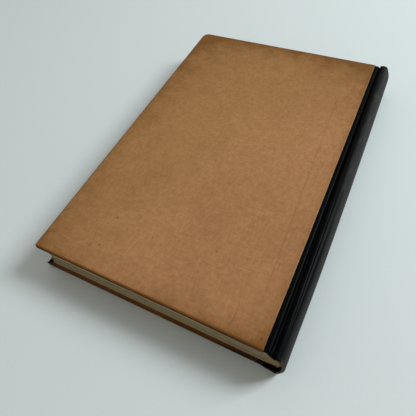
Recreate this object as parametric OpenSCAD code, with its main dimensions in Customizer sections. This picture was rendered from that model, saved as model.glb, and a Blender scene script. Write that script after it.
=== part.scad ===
// Quarter-bound hardback book, lying closed on its front cover.
// X runs from the fore edge to the spine, Y from tail to head, Z up.
// The origin is the middle of the face that the book lies on.

/* [Pages] */
// Height of the pages from tail to head
page_h = 193.4; // [150:0.2:240]
// Width of the pages from the fore edge to the ridge beside the spine
page_w = 124.8; // [95:0.2:170]
// Thickness of the closed pages
block_t = 15.1; // [12:0.1:30]
// Depth of the hollow down the fore edge
fore_hollow = 2.5; // [1:0.1:5]

/* [Boards] */
// Thickness of the cover boards
board_t = 2.1; // [1.6:0.1:3]
// Overhang of the boards past the pages at the fore edge
overhang = 3; // [2:0.1:5]
// Overhang of the boards past the pages at head and tail
end_overhang = 1.3; // [1:0.1:4]
// Radius of the cover corners
corner_r = 1.3; // [1:0.1:6]
// Radius of the worn corner at the head of the back cover
worn_corner_r = 4.2; // [1:0.1:8]

/* [Cloth sides] */
// Thickness of the book cloth
cloth_t = 0.35; // [0.25:0.01:0.6]
// Width of the cloth and leather turned in over the inner faces
turn_in = 15; // [10:0.5:20]
// Width of the leather left bare on each board
bare_leather = 1.9; // [1:0.1:20]
// Width of the leather hidden under the cloth
under_cloth = 7; // [4:0.5:12]
// Gap in the mitre where two turn-ins meet
mitre_gap = 0.3; // [0.1:0.05:0.6]

/* [Joint and spine] */
// Width of the joint from the board to the middle of the ridge
joint_w = 4.2; // [4:0.1:5.2]
// How far the ridges lie below the outer faces of the covers
ridge_drop = 0.3; // [0.1:0.05:0.6]
// How far the spine swells out past the ridges
spine_swell = 3.8; // [3.6:0.1:6]
// Thickness of the leather
leather_t = 0.6; // [0.4:0.05:0.7]
// Outer radius of the leather over the edge of a board
bend_r = 1; // [0.8:0.1:1.2]
// Outer radius of the leather over a ridge
ridge_r = 1.6; // [1.4:0.1:1.8]
// How far past its bend over the board the leather is split for the hinge
split_past = 0.1; // [0.05:0.05:0.2]
// How far the spine stands out past the boards at head and tail
cap_out = 0.8; // [0.4:0.1:1.5]

/* [Linings] */
// Thickness of the card that stiffens the spine
inlay_t = 0.6; // [0.4:0.05:0.8]
// Thickness of the open cloth glued over the back of the pages
mull_t = 0.2; // [0.15:0.05:0.25]
// Width of that cloth on each board
mull_flap_w = 25; // [15:1:35]
// How far that cloth stops short of the ends of the pages
mull_short = 15; // [13:1:25]
// Thickness of the paper glued over it
lining_t = 0.2; // [0.1:0.05:0.3]
// Thickness of the endpapers
paper_t = 0.15; // [0.1:0.01:0.25]
// Gap between the paper lining and the turned-in leather of the spine
hollow_gap = 0.2; // [0.1:0.05:0.6]
// Clearance between the ends of the pages and the folds of the spine leather
page_clear = 0.3; // [0.2:0.05:0.6]

/* [Hidden] */
$fn = 96;

// Heights are measured from the middle layer of the pages
pages_top = block_t / 2;
board_in = pages_top + paper_t + cloth_t;
board_out = board_in + board_t;
cover_top = board_out + cloth_t;

// Widths are measured from the outer faces of the closed book, centred on X
book_w = overhang + page_w + spine_swell;
fore_x = -book_w / 2;
page_x = fore_x + overhang;
ridge_x = page_x + page_w;
spine_x = ridge_x + spine_swell;
board_x = ridge_x - joint_w;
cloth_x = board_x - bare_leather;
under_x = cloth_x - under_cloth;

board_h = page_h + 2 * end_overhang;
spine_h = board_h + 2 * cap_out;
lip_y = page_h / 2 + page_clear;
mull_h = page_h - 2 * mull_short;

// Centres of the arcs that shape the leather: over the board's edge, down the groove, over the
// ridge and round the spine. Each arc is tangent to the next.
bend = [board_x - (bend_r - leather_t), board_out - bend_r];
ridge = [ridge_x, cover_top - ridge_drop - ridge_r];
tightest_r = (norm(ridge - bend) - bend_r - ridge_r) / 2;
groove_r = seated_groove(tightest_r, 4 * tightest_r, 30);
groove = groove_centre(groove_r);
spine_r = (pow(spine_swell, 2) + pow(ridge.y, 2) - pow(ridge_r, 2)) / (2 * (spine_swell - ridge_r));
spine_mid = [spine_x - spine_r, 0];
bend_end = bend + (groove - bend) * bend_r / (bend_r + groove_r);
cut_x = bend_end.x + split_past;

// Depths below the outer face of the spine leather
inlay_in = leather_t + inlay_t;
fold_in = inlay_in + leather_t;
lining_out = fold_in + hollow_gap;
back_in = lining_out + lining_t + mull_t;

// The upper of the two points that lie ra from point a and rb from point b
function arc_centre(a, ra, b, rb) =
    let (d = norm(b - a),
         u = (b - a) / d,
         along = (ra * ra - rb * rb + d * d) / (2 * d),
         up = sqrt(ra * ra - along * along))
    a + along * u + up * [-u.y, u.x];

// Where a groove of radius r lies between the edge of the board and the ridge
function groove_centre(r) = arc_centre(bend, bend_r + r, ridge, ridge_r + r);

// How far the leather in such a groove stays above the open cloth on the pages
function groove_gap(r) = groove_centre(r).y - r - leather_t - mull_t - pages_top;

// Halves the interval until the leather rests on that cloth
function seated_groove(low, high, steps) =
    let (middle = (low + high) / 2)
    steps == 0 ? high :
    groove_gap(middle) > 0 ? seated_groove(low, middle, steps - 1) :
    seated_groove(middle, high, steps - 1);

// Raises a profile drawn in X and Z to its place and runs it along Y between two stations
module run_along(from_y, to_y) {
    translate([0, to_y, cover_top])
        rotate([90, 0, 0])
            linear_extrude(to_y - from_y)
                children();
}

module both_halves() {
    children();
    mirror([0, 1]) children();
}

module back_side() {
    translate([0, 0, cover_top]) children();
}

module front_side() {
    translate([0, 0, cover_top]) mirror([0, 0, 1]) children();
}

// Both ends of the book, head and tail
module both_ends() {
    children();
    mirror([0, 1, 0]) children();
}

module disc(centre, r) {
    translate(centre) circle(r);
}

// Everything inside the leather, at a depth below its outer face, above the middle layer
module half_section(depth) {
    reach = 2 * spine_r;
    difference() {
        union() {
            polygon([
                [under_x, 0], [under_x, board_out - depth], [bend.x, board_out - depth],
                bend, groove, ridge, [ridge.x, 0]
            ]);
            disc(bend, bend_r - depth);
            disc(ridge, ridge_r - depth);
            intersection() {
                disc(spine_mid, spine_r - depth);
                polygon([spine_mid, spine_mid + 2 * (ridge - spine_mid), [spine_mid.x + reach, 0]]);
            }
        }
        disc(groove, groove_r + depth);
    }
}

// The same for the spine alone, from the hinge line in one joint to that in the other
module spine_section(depth) {
    intersection() {
        both_halves() half_section(depth);
        translate([cut_x, -cover_top]) square([spine_x - cut_x + 1, 2 * cover_top]);
    }
}

// The opening left inside the folded ends of the spine leather
module fold_opening() {
    difference() {
        intersection() {
            disc(spine_mid, spine_r - fold_in);
            translate([cut_x - 1, -groove.y]) square([spine_x - cut_x + 1, 2 * groove.y]);
        }
        both_halves() disc(groove, groove_r + fold_in);
    }
}

// A curved strip round the back between two depths, as tall as the ridges are apart
module back_strip(outer, inner) {
    intersection() {
        difference() {
            disc(spine_mid, spine_r - outer);
            disc(spine_mid, spine_r - inner);
        }
        translate([spine_mid.x + spine_r / 2, -ridge.y]) square([spine_r, 2 * ridge.y]);
    }
}

// Outline of the pages seen from the tail, grown by the thickness of what is glued on
module block_outline(grow) {
    half = pages_top + grow;
    hollow_r = (pow(pages_top, 2) + pow(fore_hollow, 2)) / (2 * fore_hollow);
    difference() {
        union() {
            translate([page_x, -half]) square([groove.x + groove_r - page_x, 2 * half]);
            difference() {
                intersection() {
                    disc(spine_mid, spine_r - back_in + grow);
                    translate([groove.x, -groove.y]) square([spine_x - groove.x, 2 * groove.y]);
                }
                both_halves() disc(groove, groove.y - half);
            }
        }
        disc([page_x + fore_hollow - hollow_r, 0], hollow_r);
    }
}

module text_block() {
    color("#d9cda6")
        run_along(-page_h / 2, page_h / 2)
            block_outline(0);
}

module spine_mull() {
    color("#e6e0cf")
        run_along(-mull_h / 2, mull_h / 2)
            difference() {
                intersection() {
                    block_outline(mull_t);
                    translate([cut_x, -cover_top]) square([spine_x - cut_x, 2 * cover_top]);
                }
                block_outline(0);
            }
}

module spine_lining() {
    color("#b59a6d")
        run_along(-page_h / 2, page_h / 2)
            intersection() {
                back_strip(lining_out, lining_out + lining_t);
                translate([ridge_x - spine_r, -pages_top]) square([2 * spine_r, block_t]);
            }
}

module inlay_solid() {
    run_along(-board_h / 2, board_h / 2)
        back_strip(leather_t, inlay_in);
}

module spine_inlay() {
    color("#a3906c") inlay_solid();
}

// One skin over the back and both joints, folded in round the card at head and tail
module spine_leather() {
    color("#26262a") {
        difference() {
            run_along(-spine_h / 2, spine_h / 2) spine_section(0);
            run_along(-lip_y, lip_y) spine_section(leather_t);
            run_along(-spine_h / 2 - 1, spine_h / 2 + 1) fold_opening();
            inlay_solid();
        }
        both_ends()
            run_along(board_h / 2 - turn_in, lip_y)
                back_strip(inlay_in, fold_in);
    }
}

// What is cut away to round one corner of a plate, drawn at the origin
module corner_waste(r) {
    difference() {
        translate([-1, -1]) square(r + 1);
        disc([r, r], r);
    }
}

// Outline of a cover from above, drawn inside its edges by a margin
module cover_outline(margin, head_r) {
    half_h = board_h / 2 - margin;
    difference() {
        translate([fore_x + margin, -half_h]) square([board_x - fore_x - margin, 2 * half_h]);
        translate([fore_x + margin, -half_h]) corner_waste(corner_r - margin);
        translate([fore_x + margin, half_h]) mirror([0, 1]) corner_waste(head_r - margin);
    }
}

// The four sides of the cloth turned in round the inner face, with mitred corners
module turn_in_frame() {
    half_h = board_h / 2;
    diagonal = 2 * turn_in;
    difference() {
        translate([fore_x, -half_h]) square([cloth_x - fore_x, board_h]);
        translate([fore_x + turn_in, turn_in - half_h]) square([page_w, board_h - 2 * turn_in]);
        both_halves()
            translate([fore_x, -half_h])
                rotate(45)
                    translate([corner_r, -mitre_gap / 2]) square([diagonal, mitre_gap]);
    }
}

// The leather on one board: over its outer face and edge, and turned in at head and tail
module board_leather() {
    end_y = board_h / 2 - cloth_t;
    translate([0, end_y, 0])
        rotate([90, 0, 0])
            linear_extrude(2 * end_y)
                intersection() {
                    difference() {
                        half_section(0);
                        half_section(leather_t);
                    }
                    translate([under_x, pages_top]) square([cut_x - under_x, cover_top]);
                }
    both_ends() {
        translate([under_x, end_y - leather_t, board_in])
            cube([board_x - under_x, leather_t, board_t - leather_t]);
        translate([under_x, board_h / 2 - turn_in, board_in])
            cube([board_x - under_x, turn_in - cloth_t, leather_t]);
    }
}

// The board, pared where the leather is let in flush
module board(head_r) {
    length = board_h - 2 * cloth_t;
    difference() {
        translate([0, 0, board_in])
            linear_extrude(board_t)
                cover_outline(cloth_t, head_r);
        board_leather();
        translate([0, length / 2, 0])
            rotate([90, 0, 0])
                linear_extrude(length)
                    difference() {
                        translate([bend.x, pages_top]) square([bend_r, cover_top]);
                        half_section(leather_t);
                    }
    }
}

module cloth(head_r) {
    difference() {
        translate([0, 0, board_in - cloth_t])
            linear_extrude(board_t + 2 * cloth_t)
                intersection() {
                    cover_outline(0, head_r);
                    translate([fore_x, -board_h / 2]) square([cloth_x - fore_x, board_h]);
                }
        translate([0, 0, board_in])
            linear_extrude(board_t)
                cover_outline(cloth_t, head_r);
        translate([0, 0, board_in - cloth_t - 1])
            linear_extrude(cloth_t + 1)
                difference() {
                    translate([fore_x - 1, -board_h]) square([book_w, 2 * board_h]);
                    turn_in_frame();
                }
    }
}

module mull_flap() {
    translate([board_x - mull_flap_w, -mull_h / 2, board_in - mull_t])
        cube([cut_x - board_x + mull_flap_w, mull_h, mull_t]);
}

// Paper glued over the inner face, stepped over the turned-in cloth and the flap
module pastedown() {
    half_h = page_h / 2;
    rim_x = fore_x + turn_in + paper_t;
    rim_y = board_h / 2 - turn_in - paper_t;
    rim_z = board_in - cloth_t - paper_t;
    difference() {
        union() {
            translate([page_x, -half_h, board_in - paper_t])
                cube([board_x - page_x, page_h, paper_t]);
            translate([page_x, -half_h, rim_z])
                cube([rim_x - page_x, page_h, cloth_t + paper_t]);
            both_ends()
                translate([page_x, rim_y, rim_z])
                    cube([cloth_x + paper_t - page_x, half_h - rim_y, cloth_t + paper_t]);
            translate([board_x - mull_flap_w - paper_t, -mull_h / 2 - paper_t, board_in - mull_t - paper_t])
                cube([mull_flap_w + paper_t, mull_h + 2 * paper_t, mull_t + paper_t]);
        }
        translate([0, 0, board_in - cloth_t])
            linear_extrude(cloth_t)
                turn_in_shape();
        mull_flap();
    }
}

// The turned-in cloth with its mitres filled, so that the paper bridges them
module turn_in_shape() {
    difference() {
        translate([fore_x, -board_h / 2]) square([cloth_x - fore_x, board_h]);
        translate([fore_x + turn_in, turn_in - board_h / 2]) square([page_w, board_h - 2 * turn_in]);
    }
}

module back_board() {
    color("#8d8168") back_side() board(worn_corner_r);
}

module back_cloth() {
    color("#b08046") back_side() cloth(worn_corner_r);
}

module back_board_leather() {
    color("#26262a") back_side() board_leather();
}

module back_mull_flap() {
    color("#e6e0cf") back_side() mull_flap();
}

module back_pastedown() {
    color("#ddd2b0") back_side() pastedown();
}

module front_board() {
    color("#8d8168") front_side() board(corner_r);
}

module front_cloth() {
    color("#b08046") front_side() cloth(corner_r);
}

module front_board_leather() {
    color("#26262a") front_side() board_leather();
}

module front_mull_flap() {
    color("#e6e0cf") front_side() mull_flap();
}

module front_pastedown() {
    color("#ddd2b0") front_side() pastedown();
}

text_block();
spine_mull();
spine_lining();
spine_inlay();
spine_leather();
back_board();
back_cloth();
back_board_leather();
back_mull_flap();
back_pastedown();
front_board();
front_cloth();
front_board_leather();
front_mull_flap();
front_pastedown();
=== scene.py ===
"""Looks of a quarter-bound hardback book: cloth sides, worn black leather spine, yellowed pages.

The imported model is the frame. X runs from the fore edge to the spine, Y from tail to head and Z
up through the closed book. Lengths are in metres, and the shapes below are worked out in
millimetres, because the book's parts are thin. What both covers have is drawn for the back one,
with heights from the middle layer of the pages, and mirrored for the front one.
"""

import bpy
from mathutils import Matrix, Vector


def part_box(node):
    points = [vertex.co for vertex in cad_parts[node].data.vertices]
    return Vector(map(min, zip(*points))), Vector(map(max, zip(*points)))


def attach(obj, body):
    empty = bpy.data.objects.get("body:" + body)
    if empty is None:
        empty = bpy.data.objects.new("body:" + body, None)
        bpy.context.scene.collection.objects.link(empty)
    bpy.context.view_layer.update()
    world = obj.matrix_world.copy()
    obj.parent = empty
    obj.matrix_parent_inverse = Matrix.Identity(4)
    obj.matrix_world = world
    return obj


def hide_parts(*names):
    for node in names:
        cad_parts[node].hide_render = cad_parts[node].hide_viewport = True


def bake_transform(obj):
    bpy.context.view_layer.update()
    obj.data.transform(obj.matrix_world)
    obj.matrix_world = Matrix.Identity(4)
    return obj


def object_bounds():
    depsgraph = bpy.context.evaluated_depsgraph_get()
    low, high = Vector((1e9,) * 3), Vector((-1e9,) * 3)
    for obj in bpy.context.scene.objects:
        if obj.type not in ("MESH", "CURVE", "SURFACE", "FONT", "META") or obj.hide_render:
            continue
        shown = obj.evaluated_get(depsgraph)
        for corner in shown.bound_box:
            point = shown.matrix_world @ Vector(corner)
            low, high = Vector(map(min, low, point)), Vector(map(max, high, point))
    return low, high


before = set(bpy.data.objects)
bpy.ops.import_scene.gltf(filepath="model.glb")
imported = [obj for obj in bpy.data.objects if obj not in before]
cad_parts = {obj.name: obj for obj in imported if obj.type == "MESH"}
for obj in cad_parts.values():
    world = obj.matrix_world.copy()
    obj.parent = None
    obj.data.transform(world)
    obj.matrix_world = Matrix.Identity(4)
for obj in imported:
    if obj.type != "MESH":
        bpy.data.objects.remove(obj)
CAD_BOX = [list(corner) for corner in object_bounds()]

import functools
import math

import bpy
import numpy as np
from bpy.props import FloatProperty, FloatVectorProperty, IntProperty, PointerProperty
from mathutils import Matrix

bl_info = {
    "name": "Quarter-bound book",
    "version": (1, 0, 0),
    "blender": (4, 5, 0),
    "location": "3D View > Sidebar > Book",
    "description": "Builds the cloth, leather, pages and papers of a hardback book round its packed frame",
    "category": "Add Mesh",
}

MM = 0.001


def box_mm(node):
    """Lowest and highest corners of a CAD node, in millimetres."""
    low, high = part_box(node)
    return np.array(low) / MM, np.array(high) / MM


# Places that every piece shares, read from the frame
TOP = CAD_BOX[1][2] / MM
MID = TOP / 2
FORE_X = box_mm("back_cloth")[0][0]
CLOTH_X = box_mm("back_cloth")[1][0]
COVER_Y = box_mm("back_cloth")[1][1]
COVER_IN = box_mm("back_cloth")[0][2] - MID
COVER_OUT = TOP - MID
BOARD_X = box_mm("back_board")[1][0]
BOARD_IN = box_mm("back_board")[0][2] - MID
UNDER_X = box_mm("back_board_leather")[0][0]
PAGE_X = box_mm("text_block")[0][0]
PAGE_Y = box_mm("text_block")[1][1]
SPINE_X = CAD_BOX[1][0] / MM
SPINE_Y = CAD_BOX[1][1] / MM
MULL_Y = box_mm("spine_mull")[1][1]
FLAP_X = box_mm("back_mull_flap")[0][0]

# The leather's section: centres and radii of its tangent arcs, above the middle layer of the pages
BEND, BEND_R = np.array([57.4, 9.15]), 1.0
GROOVE, GROOVE_R = np.array([59.456, 9.424]), 1.074
RIDGE, RIDGE_R = np.array([62.0, 8.6]), 1.6
SPINE_R = 19.509
SPINE_MID = np.array([SPINE_X - SPINE_R, 0.0])
# Number of the line's point just past the start of its bend over the board's edge
BEND_POINT = 17

# Thicknesses, with the gap between doubled skins of leather, the step that an endpaper makes over
# a turn-in, and the open cloth where the joint presses it
LEATHER_T = 0.6
SKIN_GAP = 0.06
DOUBLED_T = 2 * LEATHER_T + SKIN_GAP
CLOTH_T = 0.33
TURN_STEP = 0.35
PAPER_T = 0.15
MULL_T = 0.2
MULL_PRESSED = 0.12
CARD_T = 0.6

# Pages: half their thickness, how far they stay inside the leather, the hollow of the fore edge,
# and the number of leaves in a gathering
PAGE_Z = 7.55
PAGES_IN = 2.4
FORE_HOLLOW = 2.5
GATHERING = 8

# Cloth: its turn-in, the width of the border that runs round the outer face's grid, the outer and
# inner rounds of the rim, the radius of a tail corner, and the way round an edge when laid flat
TURN_IN = 15.0
RIM_WIDTH = 7.0
ROUND_OUT = 0.85
ROUND_IN = 0.65
CORNER_R = 1.0

# Where the joint's pieces bend, from the pages to the cover, and where two of them end
HINGE_START = 61.4
HINGE_END = 57.6
MULL_END = 61.2
PAPER_END = 61.3

# Marks seen on the back cover: x, y and radius of a speck; x at the middle of the book, lean, and
# both ends in y of a scratch; centre, radius and left end of the ring. The thorn is how far loose
# threads stand out in x and y at the front cover's worn corner
SPECKS = (
    (-35.2, -67.4, 0.7), (-34.7, -84.4, 0.5), (-12.4, -70.5, 0.45), (19.7, -65.1, 0.55),
    (53.3, -94.2, 0.5), (-44.2, 70.3, 0.4),
)
SCRATCHES = ((44.5, 0.0, 68, 89), (47.9, -0.2, 8, 21), (44.6, -0.038, -82, 64))
RING = (14.8, -88.2, 24.9, 22)
THORN = np.array([-1.5, -0.5])

# The photograph's camera: its place, and its directions to the right, up and ahead
CAMERA_PLACE = np.array([72.09, -149.39, 196.39]) * MM
CAMERA_TURN = (
    (0.88602, 0.45087, -0.10812),
    (-0.29104, 0.72236, 0.62729),
    (-0.36092, 0.52433, -0.77124),
)


# Shapes as arrays


def smooth(low, high, x):
    """0 at low and 1 at high, with a cubic ease between them. Low may be the greater."""
    t = np.clip((np.asarray(x, float) - low) / (high - low), 0, 1)
    return t * t * (3 - 2 * t)


def hump(x, centre, width):
    """A bell curve that is 1 at its centre."""
    return np.exp(-(((x - centre) / width) ** 2))


def wobble(x, y, scale, seed, layers=3):
    """Smooth noise from -1 to 1: a sum of sine waves in random directions, each layer finer."""
    rng = np.random.default_rng(seed)
    total = np.zeros(np.broadcast(x, y).shape)
    for layer in range(layers):
        for _ in range(4):
            angle, phase = rng.uniform(0, 2 * math.pi, 2)
            k = 2 * math.pi / scale * 1.9**layer * rng.uniform(0.7, 1.3)
            total += np.sin(k * (x * math.cos(angle) + y * math.sin(angle)) + phase) / 2**layer
    return total / 7


def steps(*stops):
    """Values from stop to stop, each once. A stop is a value, or a value and how many values
    there are from the stop before up to it, both counted."""
    runs = []
    for before, (value, count) in zip(stops, stops[1:]):
        start = before if np.isscalar(before) else before[0]
        runs.append(np.linspace(start, value, count)[:-1])
    return np.concatenate([*runs, [stops[-1][0]]])


def grid_quads(numbers):
    """Quads between the neighbours of a grid of vertex numbers."""
    corners = [numbers[:-1, :-1], numbers[1:, :-1], numbers[1:, 1:], numbers[:-1, 1:]]
    return np.stack(corners, -1).reshape(-1, 4)


def arc(centre, radius, start, end, count):
    """Points on an arc between two angles in degrees, and their normals."""
    a = np.radians(np.linspace(start, end, count))
    normal = np.stack([np.cos(a), np.sin(a)], -1)
    return centre + radius * normal, normal


def angle_to(a, b):
    """Direction from point a to point b, in degrees."""
    d = b - a
    return math.degrees(math.atan2(d[1], d[0]))


def shell(outer, inner, quads):
    """Closes two skins of the same grid: the inner one is turned over and each free edge of the
    outer one is joined to its like by a quad. Returns the points and faces."""
    n = len(outer)
    tails, heads = quads.ravel(), np.roll(quads, -1, axis=1).ravel()
    kept = tails != heads
    tails, heads = tails[kept], heads[kept]
    key = np.minimum(tails, heads) * np.int64(n) + np.maximum(tails, heads)
    _, first, count = np.unique(key, return_index=True, return_counts=True)
    free = first[count == 1]
    rim = np.stack([heads[free], tails[free], tails[free] + n, heads[free] + n], -1)
    return np.concatenate([outer, inner]), np.concatenate([quads, quads[:, ::-1] + n, rim])


def sheet_shell(x, y, low, high):
    """A sheet over a grid in x and y, closed between its low and its high side."""
    lower, upper = np.stack([x, y, low], -1), np.stack([x, y, high], -1)
    quads = grid_quads(np.arange(x.size).reshape(x.shape))
    return shell(lower.reshape(-1, 3), upper.reshape(-1, 3), quads)


def volume(points, quads):
    """Six times the volume inside the faces, positive where they point outwards."""
    a, b, c, d = (points[quads[:, i]] for i in range(4))
    return (a * (np.cross(b, c) + np.cross(c, d))).sum()


def put_mesh(name, points, quads, material, uv=None, masks=(), sharp=50):
    """Makes an object of points in millimetres. A quad that has the same corner twice becomes a
    triangle, and all faces are turned over where the surface is inside out. Flat places and masks
    that are given for the outer skin of a shell hold for its inner skin too."""
    if volume(points, quads) < 0:
        quads = quads[:, ::-1]
    same = quads == np.roll(quads, -1, axis=1)
    whole = quads[~same.any(1)]
    split = quads[same.any(1)]
    corner = np.argmax(split == np.roll(split, -1, axis=1), axis=1)
    order = (corner[:, None] + 1 + np.arange(3)) % 4
    thirds = np.take_along_axis(split, order, axis=1)
    mesh = bpy.data.meshes.new(name)
    mesh.from_pydata((points * MM).tolist(), [], whole.tolist() + thirds.tolist())
    if mesh.validate():
        raise RuntimeError(f"{name} has faces that Blender can't use")
    if uv is not None:
        loops = np.zeros(len(mesh.loops), np.int32)
        mesh.loops.foreach_get("vertex_index", loops)
        layer = mesh.uv_layers.new(name="surface")
        layer.data.foreach_set("uv", (uv[loops % len(uv)] * MM).astype(np.float32).ravel())
    for mask, values in dict(masks).items():
        layer = mesh.attributes.new(mask, "FLOAT", "POINT")
        layer.data.foreach_set("value", np.resize(values, len(points)).astype(np.float32))
    mesh.polygons.foreach_set("use_smooth", np.ones(len(mesh.polygons), bool))
    mesh.set_sharp_from_angle(angle=math.radians(sharp))
    mesh.materials.append(material)
    piece = bpy.data.objects.new(name, mesh)
    bpy.context.scene.collection.objects.link(piece)
    return piece


def in_frame(points, side):
    """Points drawn for the back cover, moved up to their place, or mirrored for the front one."""
    placed = np.array(points, float)
    placed[..., 2] = MID + side * placed[..., 2]
    return placed


def bend_at_hinge(piece, cover):
    """Bakes a piece's transform into its mesh. The places where it would bend across a cover's joint are
    listed, from the pages to the cover, and from the cover to the pages for the front joint so that a half
    turn would sweep it below the book, as it does the cover, but they are not used."""
    places = [("pages", HINGE_START), (f"{cover}_cover", HINGE_END)]
    if cover == "front":
        places.reverse()
    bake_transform(piece)


# Shader nodes


class Nodes:
    """A shader node tree, with a method for each kind of node used. What is given for an input is
    linked if it is a socket, and set if it is a value. A colour has three values."""

    def __init__(self, tree):
        self.tree = tree

    def give(self, socket, value):
        if isinstance(value, bpy.types.NodeSocket):
            self.tree.links.new(value, socket)
        else:
            socket.default_value = value

    def node(self, kind, inputs, **settings):
        made = self.tree.nodes.new("ShaderNode" + kind)
        for name, value in settings.items():
            setattr(made, name, value)
        for name, value in inputs.items():
            self.give(made.inputs[name], value)
        return made

    def maths(self, operation, *values, clamp=False):
        made = self.node("Math", dict(enumerate(values)), operation=operation, use_clamp=clamp)
        return made.outputs[0]

    def times(self, a, b):
        return self.maths("MULTIPLY", a, b)

    def mix(self, factor, a, b, blend="MIX"):
        """Colour between a and b."""
        made = self.node("Mix", {0: factor}, data_type="RGBA", blend_type=blend, clamp_factor=True)
        for number, value in ((6, a), (7, b)):
            linked = isinstance(value, bpy.types.NodeSocket)
            self.give(made.inputs[number], value if linked else (*value, 1.0))
        return made.outputs[2]

    def darker(self, base, amount, tint):
        """Base, or base times a tint where the amount is 1."""
        return self.mix(amount, base, self.mix(1.0, base, tint, "MULTIPLY"))

    def ease(self, value, low, high, out_low=0.0, out_high=1.0):
        """Value mapped smoothly from low..high to out_low..out_high."""
        inputs = {0: value, 1: low, 2: high, 3: out_low, 4: out_high}
        return self.node("MapRange", inputs, interpolation_type="SMOOTHSTEP").outputs[0]

    def scaled(self, vector, scale, turn=0.0):
        """Vector times a scale for each axis, after a turn about Z."""
        return self.node("Mapping", {"Vector": vector, "Scale": scale, "Rotation": (0, 0, turn)}).outputs[0]

    def noise(self, vector, scale, detail=3.0, roughness=0.5):
        inputs = {"Vector": vector, "Scale": scale, "Detail": detail, "Roughness": roughness}
        return self.node("TexNoise", inputs).outputs[0]

    def split(self, vector):
        """The three parts of a vector."""
        return self.node("SeparateXYZ", {0: vector}).outputs

    def mask(self, name):
        """A mask that the mesh carries."""
        return self.node("Attribute", {}, attribute_name=name).outputs["Fac"]

    def place(self):
        """Place in the object, in metres."""
        return self.node("TexCoord", {}).outputs["Object"]

    def surface(self):
        """Place on the sheet when laid flat, in metres."""
        return self.node("UVMap", {}, uv_map="surface").outputs[0]

    def group(self, group, **inputs):
        """Outputs of a node group."""
        return self.node("Group", inputs, node_tree=group).outputs


def made_once(name, group=False):
    """Lets a function make its material or node group once, and find it by its name after that."""

    def wrap(build):
        @functools.wraps(build)
        def find():
            kept = bpy.data.node_groups if group else bpy.data.materials
            return kept.get(name) or build(name)

        return find

    return wrap


def new_group(name, outputs, **inputs):
    """A shader node group that takes a vector and numbers, and gives numbers. Returns its nodes,
    the sockets that hold what it takes, and the sockets for what it gives."""
    tree = bpy.data.node_groups.new(name, "ShaderNodeTree")
    tree.interface.new_socket("Vector", in_out="INPUT", socket_type="NodeSocketVector")
    for label, value in inputs.items():
        socket = tree.interface.new_socket(label, in_out="INPUT", socket_type="NodeSocketFloat")
        socket.default_value = value
    for label in outputs:
        tree.interface.new_socket(label, in_out="OUTPUT", socket_type="NodeSocketFloat")
    return Nodes(tree), tree.nodes.new("NodeGroupInput").outputs, tree.nodes.new("NodeGroupOutput").inputs


@made_once("Plain weave", group=True)
def weave_group(name):
    """Plain weave: each set of threads is a sine across them, and their product says which set
    lies on top. Noise drawn out along each set gives thick and thin threads."""
    nodes, taken, given = new_group(name, ("Height", "Slubs"), Thread=0.0004)
    along = taken["Vector"]
    parts = nodes.split(along)
    turns = nodes.maths("DIVIDE", math.pi, taken["Thread"])
    warp = nodes.maths("SINE", nodes.times(parts[0], turns))
    weft = nodes.maths("SINE", nodes.times(parts[1], turns))
    long_x = nodes.noise(nodes.scaled(along, (220, 1000, 1)), 1.0, 2.0)
    long_y = nodes.noise(nodes.scaled(along, (1000, 220, 1)), 1.0, 2.0)
    nodes.give(given["Height"], nodes.maths("ABSOLUTE", nodes.times(warp, weft)))
    nodes.give(given["Slubs"], nodes.times(nodes.maths("ADD", long_x, long_y), 0.5))
    return nodes.tree


@made_once("Leather grain", group=True)
def grain_group(name):
    """Leather grain: small cells with sunk borders, broken up by fine noise."""
    nodes, taken, given = new_group(name, ("Height", "Scuffs"), Cells=1600.0)
    along = taken["Vector"]
    to_border = nodes.node(
        "TexVoronoi", {"Vector": along, "Scale": taken["Cells"]}, feature="DISTANCE_TO_EDGE"
    ).outputs[0]
    raised = nodes.ease(to_border, 0.0, 0.25)
    fine = nodes.noise(along, 3000.0)
    nodes.give(given["Height"], nodes.maths("MULTIPLY_ADD", raised, 0.6, nodes.times(fine, 0.4)))
    nodes.give(given["Scuffs"], nodes.noise(nodes.scaled(along, (900, 70, 900)), 1.0, 4.0, 0.65))
    return nodes.tree


@made_once("Uneven toning", group=True)
def toning_group(name):
    """Slow uneven toning, from broad clouds to small blotches."""
    nodes, taken, given = new_group(name, ("Clouds", "Blotches"), Scale=20.0)
    place, scale = taken["Vector"], taken["Scale"]
    broad = nodes.noise(place, scale)
    small = nodes.noise(place, nodes.times(scale, 7.0), 5.0, 0.6)
    nodes.give(given["Clouds"], nodes.ease(broad, 0.3, 0.7))
    nodes.give(given["Blotches"], nodes.ease(small, 0.35, 0.7))
    return nodes.tree


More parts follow.
